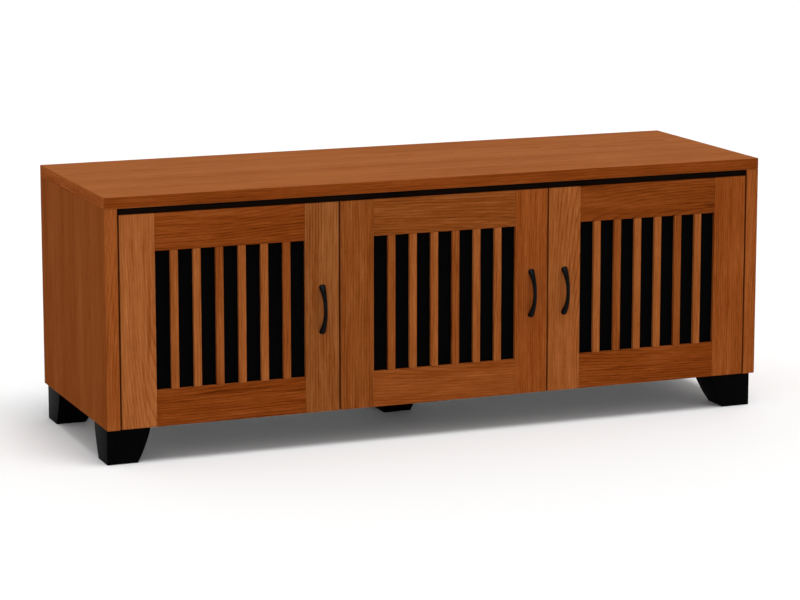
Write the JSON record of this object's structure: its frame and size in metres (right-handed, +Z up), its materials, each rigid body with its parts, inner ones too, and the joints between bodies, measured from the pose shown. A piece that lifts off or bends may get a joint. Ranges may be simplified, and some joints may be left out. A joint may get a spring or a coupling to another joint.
{
  "type": "console television cabinet",
  "caption": "Low wooden media console on tapered black feet, with slatted cloth-backed doors on concealed hinges, bow handles, inner shelves and lift-off back panels.",
  "frame": {"origin": "on the floor, midway along the width and midway along the overall depth with the handles", "axes": "+X to the right along the front, +Y from the doors towards the back, +Z up"},
  "size_m": [1.66, 0.572, 0.621],
  "materials": {
    "cherry": "satin clear coat over reddish-brown cherry",
    "cherry_top": "satin clear coat over reddish-brown cherry",
    "black_board": "matte black laminate",
    "black_paint": "satin black paint",
    "grille_cloth": "open-weave black acoustic cloth",
    "handle_metal": "satin black powder coat",
    "hinge_steel": "nickel-plated"
  },
  "bodies": {
    "cabinet": {"left_side_panel": "cherry", "right_side_panel": "cherry", "top_panel": "cherry_top", "bottom_panel": "black_board", "left_divider": "black_board", "right_divider": "black_board", "reveal_rail": "black_board", "rear_rail": "black_board", "left_back_panel": "black_board", "centre_back_panel": "black_board", "right_back_panel": "black_board", "left_shelf": "black_board", "centre_shelf": "black_board", "right_shelf": "black_board", "front_left_foot": "black_paint", "front_right_foot": "black_paint", "rear_left_foot": "black_paint", "rear_right_foot": "black_paint", "centre_foot": "black_paint", "left_lower_hinge_arm": "hinge_steel", "left_upper_hinge_arm": "hinge_steel", "centre_lower_hinge_arm": "hinge_steel", "centre_upper_hinge_arm": "hinge_steel", "right_lower_hinge_arm": "hinge_steel", "right_upper_hinge_arm": "hinge_steel"},
    "left_door": {"left_door_hinge_stile": "cherry", "left_door_handle_stile": "cherry", "left_door_bottom_rail": "cherry", "left_door_top_rail": "cherry", "left_door_slat_grille": "cherry", "left_door_grille_cloth": "grille_cloth", "left_door_handle": "handle_metal", "left_lower_hinge_cup": "hinge_steel", "left_upper_hinge_cup": "hinge_steel"},
    "left_hinge_links": {"left_lower_hinge_link": "hinge_steel", "left_upper_hinge_link": "hinge_steel"},
    "centre_door": {"centre_door_hinge_stile": "cherry", "centre_door_handle_stile": "cherry", "centre_door_bottom_rail": "cherry", "centre_door_top_rail": "cherry", "centre_door_slat_grille": "cherry", "centre_door_grille_cloth": "grille_cloth", "centre_door_handle": "handle_metal", "centre_lower_hinge_cup": "hinge_steel", "centre_upper_hinge_cup": "hinge_steel"},
    "centre_hinge_links": {"centre_lower_hinge_link": "hinge_steel", "centre_upper_hinge_link": "hinge_steel"},
    "right_door": {"right_door_hinge_stile": "cherry", "right_door_handle_stile": "cherry", "right_door_bottom_rail": "cherry", "right_door_top_rail": "cherry", "right_door_slat_grille": "cherry", "right_door_grille_cloth": "grille_cloth", "right_door_handle": "handle_metal", "right_lower_hinge_cup": "hinge_steel", "right_upper_hinge_cup": "hinge_steel"},
    "right_hinge_links": {"right_lower_hinge_link": "hinge_steel", "right_upper_hinge_link": "hinge_steel"}
  },
  "joints": [
    {"name": "left_door_hinge", "type": "hinge", "parent": "cabinet", "child": "left_door", "pos_m": [-0.795, -0.259, 0.33185], "axis": [0, 0, -1], "range_deg": [0, 95]},
    {"name": "centre_door_hinge", "type": "hinge", "parent": "cabinet", "child": "centre_door", "pos_m": [-0.26367, -0.259, 0.33185], "axis": [0, 0, -1], "range_deg": [0, 95]},
    {"name": "right_door_hinge", "type": "hinge", "parent": "cabinet", "child": "right_door", "pos_m": [0.795, -0.259, 0.33185], "axis": [0, 0, 1], "range_deg": [0, 95]},
    {"name": "left_link_turn", "type": "hinge", "parent": "cabinet", "child": "left_hinge_links", "pos_m": [-0.795, -0.259, 0.33185], "axis": [0, 0, -1], "range_deg": [0, 72]},
    {"name": "centre_link_turn", "type": "hinge", "parent": "cabinet", "child": "centre_hinge_links", "pos_m": [-0.26367, -0.259, 0.33185], "axis": [0, 0, -1], "range_deg": [0, 72]},
    {"name": "right_link_turn", "type": "hinge", "parent": "cabinet", "child": "right_hinge_links", "pos_m": [0.795, -0.259, 0.33185], "axis": [0, 0, 1], "range_deg": [0, 72]}
  ],
  "couplings": [
    {"joint": "left_link_turn", "follows": "left_door_hinge", "ratio": 0.75},
    {"joint": "centre_link_turn", "follows": "centre_door_hinge", "ratio": 0.75},
    {"joint": "right_link_turn", "follows": "right_door_hinge", "ratio": 0.75}
  ]
}
